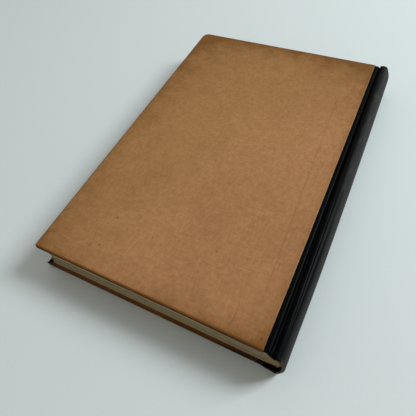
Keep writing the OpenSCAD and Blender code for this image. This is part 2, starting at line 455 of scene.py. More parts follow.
@made_once("Small marks", group=True)
def marks_group(name):
    """Small dark marks on a cover, in metres from the middle: specks are round, scratches are
    straight, and the ring is part of a circle. Each is 1 within a small distance of its line."""
    nodes, taken, given = new_group(name, ("Specks", "Lines"))
    bent = nodes.noise(taken["Vector"], 300.0, 2.0)
    inputs = {0: taken["Vector"], 1: (1, 1, 0)}
    flat = nodes.node("VectorMath", inputs, operation="MULTIPLY").outputs[0]
    parts = nodes.split(flat)

    def far(x, y):
        inputs = {0: flat, 1: (x * MM, y * MM, 0)}
        return nodes.node("VectorMath", inputs, operation="DISTANCE").outputs["Value"]

    specks = 0.0
    for x, y, radius in SPECKS:
        uneven = nodes.maths("MULTIPLY_ADD", bent, 0.8 * MM, far(x, y))
        speck = nodes.ease(uneven, radius * MM, (radius + 0.7) * MM, 1.0, 0.0)
        specks = nodes.maths("MAXIMUM", specks, speck)
    lines = 0.0
    for x, lean, low, high in SCRATCHES:
        middle = nodes.maths("MULTIPLY_ADD", parts[1], lean, x * MM)
        across = nodes.maths("ABSOLUTE", nodes.maths("SUBTRACT", parts[0], middle))
        near = nodes.ease(across, 0.1 * MM, 0.55 * MM, 1.0, 0.0)
        above = nodes.ease(parts[1], low * MM, (low + 4) * MM)
        below = nodes.ease(parts[1], high * MM, (high - 4) * MM)
        lines = nodes.maths("MAXIMUM", lines, nodes.times(near, nodes.times(above, below)))
    x, y, radius, left = RING
    away = nodes.maths("ABSOLUTE", nodes.maths("SUBTRACT", far(x, y), radius * MM))
    ring = nodes.ease(away, 0.15 * MM, 0.6 * MM, 1.0, 0.0)
    ring = nodes.times(ring, nodes.ease(parts[0], left * MM, (left + 6) * MM))
    lines = nodes.maths("MAXIMUM", lines, nodes.times(ring, nodes.ease(bent, 0.4, 0.55)))
    nodes.give(given["Specks"], specks)
    nodes.give(given["Lines"], lines)
    return nodes.tree


# Materials


def new_material(name, roughness, specular, sheen=0.0):
    """A material with its nodes and its Principled shader, whose plain values sit on the shader."""
    made = bpy.data.materials.new(name)
    made.use_nodes = True
    shader = next(n for n in made.node_tree.nodes if n.type == "BSDF_PRINCIPLED")
    values = {"Roughness": roughness, "Specular IOR Level": specular}
    if sheen:
        values.update({"Sheen Weight": sheen, "Sheen Roughness": 0.6})
    for label, value in values.items():
        shader.inputs[label].default_value = value
    return made, Nodes(made.node_tree), shader


def finish_material(nodes, shader, base, height, strength, distance):
    """Links the colour, and the height through a bump, to the shader."""
    nodes.give(shader.inputs["Base Color"], base)
    bump = nodes.node("Bump", {"Height": height, "Strength": strength, "Distance": distance})
    nodes.give(shader.inputs["Normal"], bump.outputs[0])


@made_once("book_cloth")
def cloth_material(name):
    """Tan book cloth: fine weave, uneven toning, dark rubbed edges, painted shade on the rims, overhangs
    and worn corner, small marks, pale frayed edge.
    """
    colours = bpy.context.scene.book_colours
    made, nodes, shader = new_material(name, 0.9, 0.06, 0.02)
    darker, ease, mix, times = nodes.darker, nodes.ease, nodes.mix, nodes.times
    place, flat = nodes.place(), nodes.surface()
    weave = nodes.group(weave_group(), Vector=flat, Thread=bpy.context.scene.book_sizes.cloth_thread)
    toning = nodes.group(toning_group(), Vector=place, Scale=14.0)
    marks = nodes.group(marks_group(), Vector=place)
    parts = nodes.split(place)

    lean = nodes.maths("SUBTRACT", parts[0], times(parts[1], 0.55))
    base = mix(ease(lean, -0.04, 0.055), colours.cloth_head, colours.cloth_tail)
    base = darker(base, times(toning["Clouds"], 0.3), (0.72, 0.68, 0.62))
    base = darker(base, times(toning["Blotches"], 0.22), (0.72, 0.68, 0.62))
    slubs = ease(weave["Slubs"], 0.38, 0.62)
    base = darker(base, times(slubs, 0.6), (0.76, 0.74, 0.7))
    base = darker(base, times(ease(weave["Height"], 0.45, 0.0), 0.25), (0.6, 0.55, 0.5))
    mottle = ease(nodes.noise(place, 420.0, 3.0, 0.6), 0.42, 0.62)
    base = darker(base, times(mottle, 0.22), (0.72, 0.66, 0.6))
    patchy = nodes.maths("MULTIPLY_ADD", toning["Blotches"], 0.35, 0.65)
    base = darker(base, times(nodes.mask("soil"), patchy), (0.52, 0.46, 0.31))
    on_back = ease(parts[2], MID * MM, (MID + 1) * MM)
    base = darker(base, times(times(marks["Specks"], on_back), 0.75), (0.4, 0.3, 0.25))
    base = darker(base, times(times(marks["Lines"], on_back), 0.3), (0.6, 0.5, 0.42))
    uneven = ease(nodes.noise(place, 260.0, 4.0), 0.25, 0.6, 0.75, 1.0)
    # Rubbed brown, with painted shade on the rims and on the inner faces' overhangs
    base = mix(times(nodes.mask("edge"), uneven), base, colours.cloth_rubbed_and_shade)
    # Black dirt and painted shade on the rims and overhangs
    base = mix(times(nodes.mask("under"), uneven), base, colours.cloth_black_and_shade)
    # Painted shade on the worn corner, streaked with near black
    streaks = ease(nodes.noise(nodes.scaled(place, (500, 500, 2600)), 1.0, 2.0), 0.42, 0.6)
    corner_shade_colour = mix(streaks, colours.cloth_corner_shade, colours.cloth_black_and_shade)
    base = mix(nodes.mask("stain"), base, corner_shade_colour)
    frayed = times(nodes.mask("fray"), ease(nodes.noise(place, 900.0), 0.35, 0.6))
    base = mix(times(frayed, 0.4), base, colours.cloth_frayed)
    height = nodes.maths("MULTIPLY_ADD", slubs, 0.4, weave["Height"])
    finish_material(nodes, shader, base, height, 0.35, 0.00012)
    return made


@made_once("black_leather")
def leather_material(name):
    """Black spine leather: fine grain, rubbed grey where hands and shelves wear it, with painted highlights
    along the bend and beside the crease and a painted sheen towards the middle of the back.
    """
    colours = bpy.context.scene.book_colours
    made, nodes, shader = new_material(name, 0.42, 0.035)
    place = nodes.place()
    grain = nodes.group(grain_group(), Vector=place, Cells=1500.0)
    scuffed = nodes.maths("MULTIPLY_ADD", nodes.ease(grain["Scuffs"], 0.3, 0.7), 0.5, 0.5)
    worn = nodes.maths("MULTIPLY", nodes.mask("worn"), scuffed, clamp=True)
    # Grey wear, with painted highlights and sheen
    base = nodes.mix(worn, colours.leather, colours.leather_worn)
    patches = nodes.noise(nodes.scaled(place, (260, 90, 260)), 1.0, 3.0, 0.6)
    browned = nodes.times(nodes.ease(patches, 0.55, 0.7), nodes.times(worn, 0.6))
    base = nodes.mix(browned, base, colours.leather_brown)
    fibres = nodes.ease(nodes.noise(place, 900.0, 4.0), 0.5, 0.6)
    base = nodes.mix(nodes.times(nodes.mask("bare"), fibres), base, colours.leather_bare)
    nodes.give(shader.inputs["Roughness"], nodes.ease(worn, 0.0, 1.0, 0.38, 0.62))
    finish_material(nodes, shader, base, grain["Height"], 0.3, 0.00008)
    return made


def toned_paper(nodes, toning):
    """Colour of an endpaper, browned in clouds."""
    colours = bpy.context.scene.book_colours
    return nodes.mix(nodes.times(toning["Clouds"], 0.5), colours.endpaper, colours.endpaper_toned)


@made_once("yellowed_pages")
def page_material(name):
    """Edges of yellowed leaves: fine lines along the leaves, lighter towards the back cover, browner at the
    glued back, with painted shade in the gaps between leaves and gatherings and under the back cover's
    edge. The two outer leaves are endpaper."""
    colours = bpy.context.scene.book_colours
    made, nodes, shader = new_material(name, 0.9, 0.2)
    ease, mix, times = nodes.ease, nodes.mix, nodes.times
    place = nodes.place()
    lines = nodes.noise(nodes.scaled(place, (25, 25, 4000)), 1.0)
    toning = nodes.group(toning_group(), Vector=place, Scale=30.0)
    upper = ease(nodes.split(place)[2], (MID - 1) * MM, (MID + 5) * MM)
    base = mix(upper, colours.pages, colours.pages_upper)
    base = mix(ease(lines, 0.3, 0.7, 0.0, 0.75), base, colours.pages_dark)
    bands = ease(nodes.noise(nodes.scaled(place, (12, 12, 900)), 1.0, 2.0), 0.5, 0.66)
    # Tone in bands and blotches, and painted shade in the gaps and under the back cover's edge
    for amount in (times(bands, 0.45), times(nodes.mask("gap_shade"), 0.8), times(toning["Blotches"], 0.25)):
        base = mix(amount, base, colours.pages_tone_and_shade)
    base = mix(nodes.mask("nose"), base, colours.pages_nose)
    base = mix(nodes.mask("flyleaf"), base, toned_paper(nodes, toning))
    finish_material(nodes, shader, base, lines, 0.2, 0.00005)
    return made


@made_once("toned_endpaper")
def paper_material(name):
    """Endpaper: plain, lightly toned paper with fine fibres."""
    colours = bpy.context.scene.book_colours
    made, nodes, shader = new_material(name, 0.88, 0.25)
    place = nodes.place()
    toning = nodes.group(toning_group(), Vector=place, Scale=18.0)
    fibres = nodes.noise(nodes.scaled(place, (2200, 700, 700), 0.6), 1.0)
    base = toned_paper(nodes, toning)
    base = nodes.mix(nodes.times(toning["Blotches"], 0.2), base, colours.pages_dark)
    base = nodes.mix(nodes.times(nodes.mask("edge"), 0.6), base, colours.endpaper_toned)
    finish_material(nodes, shader, base, fibres, 0.15, 0.00004)
    return made


def card_material(name, light, darkest):
    """Grey-brown board, card or lining: flecked pulp, from its light colour to a share of it."""
    if name in bpy.data.materials:
        return bpy.data.materials[name]
    made, nodes, shader = new_material(name, 0.9, 0.2)
    place = nodes.place()
    dark = [darkest * c for c in light]
    flecks = nodes.noise(place, 1800.0, 4.0, 0.7)
    toning = nodes.group(toning_group(), Vector=place, Scale=40.0)
    base = nodes.mix(nodes.ease(flecks, 0.35, 0.7), light, dark)
    base = nodes.mix(nodes.times(toning["Clouds"], 0.3), base, dark)
    finish_material(nodes, shader, base, flecks, 0.2, 0.00006)
    return made


@made_once("open_cloth")
def mull_material(name):
    """Open cloth glued over the back: pale coarse weave stained by glue."""
    colours = bpy.context.scene.book_colours
    made, nodes, shader = new_material(name, 0.9, 0.2)
    weave = nodes.group(weave_group(), Vector=nodes.place(), Thread=0.0008)
    base = nodes.mix(nodes.ease(weave["Height"], 0.1, 0.6), colours.pages_tone_and_shade, colours.mull)
    finish_material(nodes, shader, base, weave["Height"], 0.4, 0.0001)
    return made


def floor_material():
    """Pale matt table top."""
    made, nodes, shader = new_material("table_top", 0.75, 0.3)
    pale = bpy.context.scene.book_colours.floor
    speckle = nodes.ease(nodes.noise(nodes.place(), 900.0, 2.0), 0.3, 0.7, 0.0, 0.25)
    nodes.give(shader.inputs["Base Color"], nodes.mix(speckle, pale, [0.94 * c for c in pale]))
    return made


# Pages


def page_top(x):
    """Half the thickness of the pages at x: flat, pressed a little under the joint, then rising
    along the groove's round to the shoulder."""
    r = GROOVE[1] - PAGE_Z
    rise = GROOVE[1] - np.sqrt(np.clip(r * r - np.clip(x - GROOVE[0], 0, r) ** 2, 0, None))
    return rise - 0.17 * smooth(BOARD_X - 3, BOARD_X, x)


def back_reach(z):
    """How far the rounded back reaches at a height from the middle layer."""
    r = SPINE_R - PAGES_IN
    return SPINE_MID[0] + np.sqrt(np.clip(r * r - z * z, 0, None))


def page_block(leaves, rng):
    """Leaves from the front to the back of the block. Height is v times the half thickness at x,
    with v from -1 to 1, so the leaves fan out towards the shoulders. Each leaf bulges at its
    middle, and is cut short or long by a little of its own. Returns a grid of points, with s
    across the leaves, t from tail to head and v through the block, and its masks."""
    v = np.linspace(-1, 1, 2 * leaves + 1)
    x_table = np.linspace(CLOTH_X, SPINE_X, 4000)
    back = x_table[[np.argmin(np.abs(x_table - back_reach(k * page_top(x_table)))) for k in v]]
    fore_r = (PAGE_Z**2 + FORE_HOLLOW**2) / (2 * FORE_HOLLOW)
    fore = PAGE_X + FORE_HOLLOW - fore_r + np.sqrt(fore_r**2 - (v * PAGE_Z) ** 2)
    # Each leaf and each gathering is trimmed by a little of its own. The gap between two leaves is
    # sunk, and the one between two gatherings is deep
    number = np.arange(len(v))
    leaf = np.minimum(number // 2, leaves - 1)
    sunk = np.where(number % 2 == 0, 1.0, 0.0)
    deep = sunk * (number % (2 * GATHERING) == 0)
    uneven = rng.normal(0, 0.035, leaves)[leaf]
    uneven = uneven + rng.normal(0, 0.06, leaves // GATHERING + 1)[leaf // GATHERING]
    trim = uneven - 0.05 * sunk - 0.12 * deep

    s = steps(0, (0.9, 34), (1, 26))
    t = np.linspace(-1, 1, 36)
    x = fore + s[:, None] * (back - fore)
    wave = 0.06 * wobble(s[:, None] * 120, v * 40, 45, 3)
    y_half = PAGE_Y - 0.12 + trim + wave
    points = np.zeros((len(s), len(t), len(v), 3))
    points[..., 0] = (x - 0.5 * (1 - s[:, None]) ** 30 * trim)[:, None, :]
    points[..., 1] = t[None, :, None] * y_half[:, None, :]
    points[..., 2] = (v * page_top(x))[:, None, :]
    # Painted shadow on the top leaves, under the back cover's edge and towards the spine
    shaded = 0.7 * smooth(0.16, 0.36, v) * (smooth(0.6, 0.8, s) * smooth(0.96, 0.92, s))[:, None]
    # The first mask paints shade in the gaps between leaves and gatherings, and the shadow under the back
    # cover's edge
    masks = {
        "gap_shade": np.maximum(0.35 * sunk + 0.65 * deep, shaded)[:, None, :],
        "nose": 0.85 * smooth(0.94, 0.985, s)[:, None, None],
        "flyleaf": (np.abs(v) == 1).astype(float),
    }
    return points, masks


def block_skin(points, masks):
    """The six faces of a block of grid points, with each point on them numbered once."""
    shape = points.shape[:3]
    on_skin = np.ones(shape, bool)
    on_skin[1:-1, 1:-1, 1:-1] = False
    numbers = np.full(shape, -1)
    numbers[on_skin] = np.arange(on_skin.sum())
    quads = []
    for axis in range(3):
        for end in (0, -1):
            side = grid_quads(np.take(numbers, end, axis=axis))
            turned = (axis == 1) == (end == 0)
            quads.append(side if turned else side[:, ::-1])
    masks = {name: np.broadcast_to(value, shape)[on_skin] for name, value in masks.items()}
    return points[on_skin], np.concatenate(quads), masks


class BOOK_OT_pages(bpy.types.Operator):
    """Builds the block of pages as leaves in gatherings, rounded and backed"""

    bl_idname = "book.pages"
    bl_label = "Pages"

    def execute(self, context):
        sizes = context.scene.book_sizes
        points, quads, masks = block_skin(*page_block(sizes.leaves, np.random.default_rng(7)))
        pages = put_mesh("pages", in_frame(points, 1), quads, page_material(), masks=masks, sharp=75)
        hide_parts("text_block")
        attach(pages, "pages")
        return {"FINISHED"}


# Cloth sides


def cover_outline(head_corner, x, y):
    """Stations round three sides of a cover, from the tail of the leather to its head, and their
    normals, which point inwards. The long straight runs have stations at x and y. Each rounded
    corner is an arc with two stations before and after it."""
    f, h, d = FORE_X, COVER_Y, RIM_WIDTH
    to_head, to_spine, to_tail = (0.0, 1.0), (1.0, 0.0), (0.0, -1.0)

    def beside_arc(a, b):
        return np.linspace(a, b, 4)[1:-1]

    low, low_n = arc(np.array([f + CORNER_R, CORNER_R - h]), CORNER_R, 270, 180, 13)
    high, high_n = arc(np.array([f + head_corner, h - head_corner]), head_corner, 180, 90, 13)
    parts = (
        (np.stack([x[::-1], np.full(len(x), -h)], -1), to_head),
        (beside_arc((f + d, -h), (f + CORNER_R, -h)), to_head),
        (low, -low_n),
        (beside_arc((f, CORNER_R - h), (f, d - h)), to_spine),
        (np.stack([np.full(len(y), f), y], -1), to_spine),
        (beside_arc((f, h - d), (f, h - head_corner)), to_spine),
        (high, -high_n),
        (beside_arc((f + head_corner, h), (f + d, h)), to_tail),
        (np.stack([x, np.full(len(x), h)], -1), to_tail),
    )
    inward = [np.broadcast_to(normal, points.shape) for points, normal in parts]
    return np.concatenate([points for points, _ in parts]), np.concatenate(inward)


def inside(outline, inward, distance):
    """The points that the stations of an outline run to, a distance inside it. Stations that lie
    nearer to a corner than that all run to its one point, so two sides meet there in a mitre."""
    goals = outline + inward * distance
    x, y = outline.T
    near = (x < FORE_X + distance) & (np.abs(y) > COVER_Y - distance)
    goals[near, 0] = FORE_X + distance
    goals[near, 1] = np.sign(y[near]) * (COVER_Y - distance)
    return goals


def cloth_skin(x, y, outline, inward, depth):
    """Cloth at a depth below its outer surface: the outer face as a grid, then rings of stations
    from its border over the rim, which is two quarter rounds with a flat between, and on to the
    end of the turn-in. Returns the points and the number of rings."""
    out_z, in_z = COVER_OUT - depth, COVER_IN + depth
    out_r, in_r = ROUND_OUT - depth, ROUND_IN - depth

    def level(places, z):
        return np.column_stack([places, np.full(len(places), z)])

    def on_face(distance, start, reach, z):
        share = (distance - start) / (reach - start)
        begin = outline + inward * start
        return level(begin + (inside(outline, inward, reach) - begin) * share, z)

    rings = [on_face(g, ROUND_OUT, RIM_WIDTH, out_z) for g in (4.6, 2.8, 1.6)]
    for a in np.radians(np.linspace(90, 0, 8)):
        g = ROUND_OUT - out_r * math.cos(a)
        rings.append(level(outline + inward * g, out_z - out_r + out_r * math.sin(a)))
    for a in np.radians(np.linspace(0, -90, 7)):
        g = ROUND_IN - in_r * math.cos(a)
        rings.append(level(outline + inward * g, in_z + in_r + in_r * math.sin(a)))
    rings += [on_face(g, ROUND_IN, TURN_IN, in_z) for g in (1.2, 1.9, 2.8, 4.2, 6.5, 10.0, TURN_IN)]
    face = np.stack(np.meshgrid(x, y, indexing="ij"), -1).reshape(-1, 2)
    return np.concatenate([level(face, out_z), *rings]), len(rings)


def cloth_dirt_and_shade(points, far, top, inner_face, rim_blackening_and_shade, worn_corner, seed):
    """Masks of dirt and painted shade on a cloth side's outer skin, where far is how far each point lies
    inside the cover's nearest edge. Each mask is made of parts that fade inwards from an edge or a corner."""
    px, py, height = points.T
    from_fore, from_spine = px - FORE_X, CLOTH_X - px
    from_tail, from_head = COVER_Y + py, COVER_Y - py

    # Rubbed brown along the edges of the outer face; rubbed brown mixed with painted shade on the whole
    # rim; painted shade on the inner face's overhang
    overhang_shade = smooth(3.6, 2.2, far)
    outside = 0.5 * np.clip(1 - np.clip(far, 0, None) / 1.1, 0, 1)
    tail_edge = 0.65 * smooth(2.2, 0.4, from_tail) * (0.45 + 0.55 * smooth(-20, 50, px))
    head_edge = smooth(2.2, 0.5, from_head) * (0.9 + 0.25 * wobble(px, 0, 14, seed + 5))
    face_edge = np.maximum(np.maximum(outside, head_edge), tail_edge)
    edge = np.where(top, face_edge, 0.85 + 0.15 * worn_corner)
    edge = np.where(inner_face, 0.8 * overhang_shade, edge)
    corner_far = np.hypot(from_fore, COVER_Y - np.abs(py))
    edge = np.clip(edge + 0.3 * smooth(8, 1, corner_far), 0, 1)

    # Black on the lower round of the back cover, partly dirt and partly painted shade under its edge. On
    # the front cover it is painted shade, in lines along both rounds, over the rim towards the spine, and
    # on the overhang towards the spine
    blackening_and_shade = rim_blackening_and_shade * smooth(COVER_IN + 2.5, COVER_IN + 1.5, height) * smooth(3.0, 0.6, far)
    lines = hump(height - COVER_IN, 0.25, 0.25)
    lines += hump(height - COVER_OUT, -0.15, 0.3) * smooth(0.8, 0.4, far)
    at_end = smooth(CLOTH_X - 2.7, CLOTH_X - 2.2, px)
    rim_shade_at_end = 0.95 * smooth(CLOTH_X - 48, CLOTH_X - 6, px) + at_end
    lines = np.maximum(0.75 * lines, rim_shade_at_end * (far < 1.5))
    overhang_shade_at_end = 0.65 * smooth(CLOTH_X - 22, CLOTH_X - 6, px) + at_end
    lines = np.where(inner_face, overhang_shade_at_end * overhang_shade, lines)
    blackening_and_shade = np.clip(np.maximum(blackening_and_shade, worn_corner * lines), 0, 1.4)

    # Painted shade on the worn corner, within an uneven oval
    oval = np.hypot(from_fore / 4.8, from_tail / 6.2) + 0.15 * wobble(px, py, 4, seed + 6)
    stain = worn_corner * smooth(1.15, 0.9, oval)

    # Soil that fades inwards from the fore edge, head, tail, leather and both ends of the leather
    soil = (0.72 + 0.3 * smooth(-20, 50, py)) * np.exp(-from_fore / 17) + 1.3 * np.exp(-from_head / 12)
    soil += 0.42 * np.exp(-from_tail / 7) + 0.5 * np.exp(-from_spine / 6) * smooth(10, 90, py)
    soil += 0.6 * np.exp(-np.hypot(from_spine, from_tail) / 12) + 0.55 * np.exp(-from_spine / 2.5)
    soil += 0.5 * np.exp(-np.hypot(from_spine, from_head) / 18)
    soil += 0.55 * np.exp(-from_tail / 5) * smooth(0, 35, px)
    soil = np.clip(soil + 0.22 * wobble(px, py, 55, seed + 4), 0, 1.45)
    fray = smooth(CLOTH_X - 0.6, CLOTH_X - 0.1, px)
    # The under mask holds black dirt and painted shade, and the edge mask holds rubbed brown and painted
    # shade
    return {"edge": edge, "under": blackening_and_shade, "fray": fray, "soil": soil, "stain": stain}


def cloth_side(head_corner, rim_blackening_and_shade, worn_corner, seed):
    """Cloth over the outer face of a board and round its three edges. The rim's profile is carried
    round the outline, and the inner skin is the same surface against the board. Returns points,
    faces, flat places and masks."""
    x = steps(FORE_X + RIM_WIDTH, (UNDER_X - 2, 56), (UNDER_X + 1.5, 10), (CLOTH_X - 0.9, 8), (CLOTH_X, 4))
    y = np.linspace(RIM_WIDTH - COVER_Y, COVER_Y - RIM_WIDTH, 120)
    outline, inward = cover_outline(head_corner, x, y)
    points, ring_count = cloth_skin(x, y, outline, inward, 0.0)
    under, _ = cloth_skin(x, y, outline, inward, CLOTH_T)

    # Each station starts at the point of the face's border that it runs to
    face = np.arange(len(x) * len(y)).reshape(len(x), len(y))
    start = inside(outline, inward, RIM_WIDTH) - 1e-6
    first_ring = face[np.searchsorted(x, start[:, 0]), np.searchsorted(y, start[:, 1])]
    rings = face.size + np.arange(ring_count * len(outline)).reshape(ring_count, -1)
    quads = np.concatenate([grid_quads(face), grid_quads(np.concatenate([first_ring[None], rings]))])

    # Gentle hollows, the leather's edge felt through the cloth, and a lifted cut edge
    px, py = points[:, 0], points[:, 1]
    top = points[:, 2] > COVER_OUT - 0.01
    inner_face = points[:, 2] < COVER_IN + 0.01
    far = np.minimum(px - FORE_X, COVER_Y - np.abs(py))
    felt_at = px + 0.25 * wobble(py, 0, 25, seed + 1)
    lift = 0.035 * wobble(px, py, 60, seed) * smooth(0.9, 8, far)
    lift += 0.09 * smooth(UNDER_X - 0.7, UNDER_X + 0.5, felt_at) * smooth(0.9, 3, far)
    lift += 0.03 * wobble(9, py, 5, seed + 2) * smooth(CLOTH_X - 0.8, CLOTH_X, px)
    points[top, 2] += lift[top]

    # The mitre's fold on the inner face, a thorn of loose threads at the front cover's worn
    # corner, and the ragged cut edge, which ends further in at the tail
    mitre = np.abs((px - FORE_X) - (COVER_Y - np.abs(py))) / math.sqrt(2)
    fold = 0.1 * hump(mitre, 0, 0.35) * smooth(0.8, 2, far) * smooth(TURN_IN + 1, TURN_IN - 2, far)
    points[inner_face, 2] -= fold[inner_face]
    thorn = hump(np.hypot(px - FORE_X - 0.3, py + COVER_Y - 0.3), 0, 0.5)
    thorn = worn_corner * thorn * hump(points[:, 2] - COVER_IN, 1.0, 0.5)
    for skin in (points, under):
        skin[:, :2] += thorn[:, None] * THORN
    cut = 0.12 * wobble(py, 0, 2.2, seed + 3) - 0.35 * smooth(-0.5 * COVER_Y, -COVER_Y, py)
    cut = cut * smooth(CLOTH_X - 0.9, CLOTH_X, px)
    for skin in (points, under):
        skin[:, 0] += cut

    # Laid flat, the weave runs on past an edge by the distance travelled down the edge
    down = np.clip(COVER_OUT - points[:, 2], 0, None)
    over_fore = (px - FORE_X) < (COVER_Y - np.abs(py))
    flat = np.stack([px - down * over_fore, py + np.sign(py) * down * ~over_fore], -1)
    masks = cloth_dirt_and_shade(points, far, top, inner_face, rim_blackening_and_shade, worn_corner, seed)
    return *shell(points, under, quads), flat + np.array([100.0, 120.0]), masks


class BOOK_OT_cloth_sides(bpy.types.Operator):
    """Wraps each board in cloth with rounded, rubbed edges, painted shade along the rims, and mitred
    turn-ins
    """

    bl_idname = "book.cloth_sides"
    bl_label = "Cloth sides"

    def execute(self, context):
        for cover, side, head_corner, rim_blackening_and_shade, worn_corner, seed in (
            ("back", 1, 4.2, 1.0, 0.0, 11),
            ("front", -1, 1.5, 0.0, 1.0, 23),
        ):
            points, quads, flat, masks = cloth_side(head_corner, rim_blackening_and_shade, worn_corner, seed)
            points = in_frame(points, side)
            cloth = put_mesh(f"{cover}_cloth_side", points, quads, cloth_material(), flat, masks)
            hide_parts(f"{cover}_cloth")
            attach(cloth, f"{cover}_cover")
        return {"FINISHED"}


# Spine leather


def leather_line():
    """The leather's outer line and the line of its turned-in face, from its edge under the cloth
    to the middle of the back. The outer line is the chain of tangent arcs, and the inner line lies
    on the board's inner face, then doubles under the joint, then runs inside the card. Returns
    both, and the outer line's normals."""
    into_groove = angle_to(BEND, GROOVE)
    out_of_groove = angle_to(GROOVE, RIDGE)
    flank = angle_to(RIDGE, GROOVE)
    shoulder = angle_to(SPINE_MID, RIDGE)
    flat_x = np.linspace(UNDER_X, BEND[0], 16)[:-1]
    flat = np.stack([flat_x, np.full(len(flat_x), BEND[1] + BEND_R)], -1)
    flat_n = np.tile([0.0, 1.0], (len(flat), 1))
    over, over_n = arc(BEND, BEND_R, 90, into_groove, 14)
    down, down_n = arc(GROOVE, GROOVE_R, into_groove + 180, out_of_groove + 360, 26)
    ridge, ridge_n = arc(RIDGE, RIDGE_R, flank, shoulder, 34)
    back, back_n = arc(SPINE_MID, SPINE_R, shoulder, 0, 60)
    outer = np.concatenate([flat, over[:-1], down[:-1], ridge[:-1], back])
    normal = np.concatenate([flat_n, over_n[:-1], -down_n[:-1], ridge_n[:-1], back_n])

    # The inner line follows the board's inner face until its own arc round the groove crosses it
    under_r = GROOVE_R + DOUBLED_T
    under_down, _ = arc(GROOVE, under_r, into_groove + 180, out_of_groove + 360, 26)
    meet = math.asin((BOARD_IN - GROOVE[1]) / under_r)
    meet_x = GROOVE[0] + under_r * math.cos(math.pi - meet)
    angles = np.linspace(into_groove + 180, out_of_groove + 360, 26)
    held = (angles < 180 - math.degrees(meet)).sum()
    board_x = np.concatenate([flat_x, np.linspace(BEND[0], meet_x, len(over) + held)[:-1]])
    under_board = np.stack([board_x, np.full(len(board_x), BOARD_IN)], -1)
    under_ridge = ridge[:-1] - DOUBLED_T * ridge_n[:-1]
    card = DOUBLED_T + (CARD_T - SKIN_GAP) * smooth(0, 0.25, np.linspace(0, 1, len(back)))
    under_back = back - card[:, None] * back_n
    return outer, np.concatenate([under_board, under_down[held:-1], under_ridge, under_back]), normal


def leather_sheet(outer, inner, end_y, flap, depth):
    """The surface at a depth in the leather. The section's line is carried from the end of one
    turned-in flap, round the half circle of the fold at the tail, along the book, and round the
    fold at the head. Returns the grid of points and how far each lies from the outer line, at 0,
    to the inner line, at 1."""
    thick = np.linalg.norm(outer - inner, axis=1)
    share = depth / thick
    bulge = np.maximum(thick / 2 - depth, 0.02)
    centre_y = end_y - thick / 2
    head = []
    for turn in np.radians(np.linspace(0, 180, 13)):
        head.append((centre_y + bulge * math.sin(turn), 0.5 - (0.5 - share) * math.cos(turn)))
    for k in np.linspace(0, 1, 8)[1:]:
        head.append((centre_y - (flap - thick / 2) * k, 1 - share))
    tail = [(-y, s) for y, s in reversed(head)]
    run = [((2 * k - 1) * centre_y, share) for k in steps(0, (0.04, 9), (0.96, 90), (1, 9))[1:-1]]
    y, s = (np.stack(rows) for rows in zip(*tail, *run, *head))
    flat = outer + (inner - outer) * s[..., None]
    return np.stack([flat[..., 0], y, flat[..., 1]], -1), s


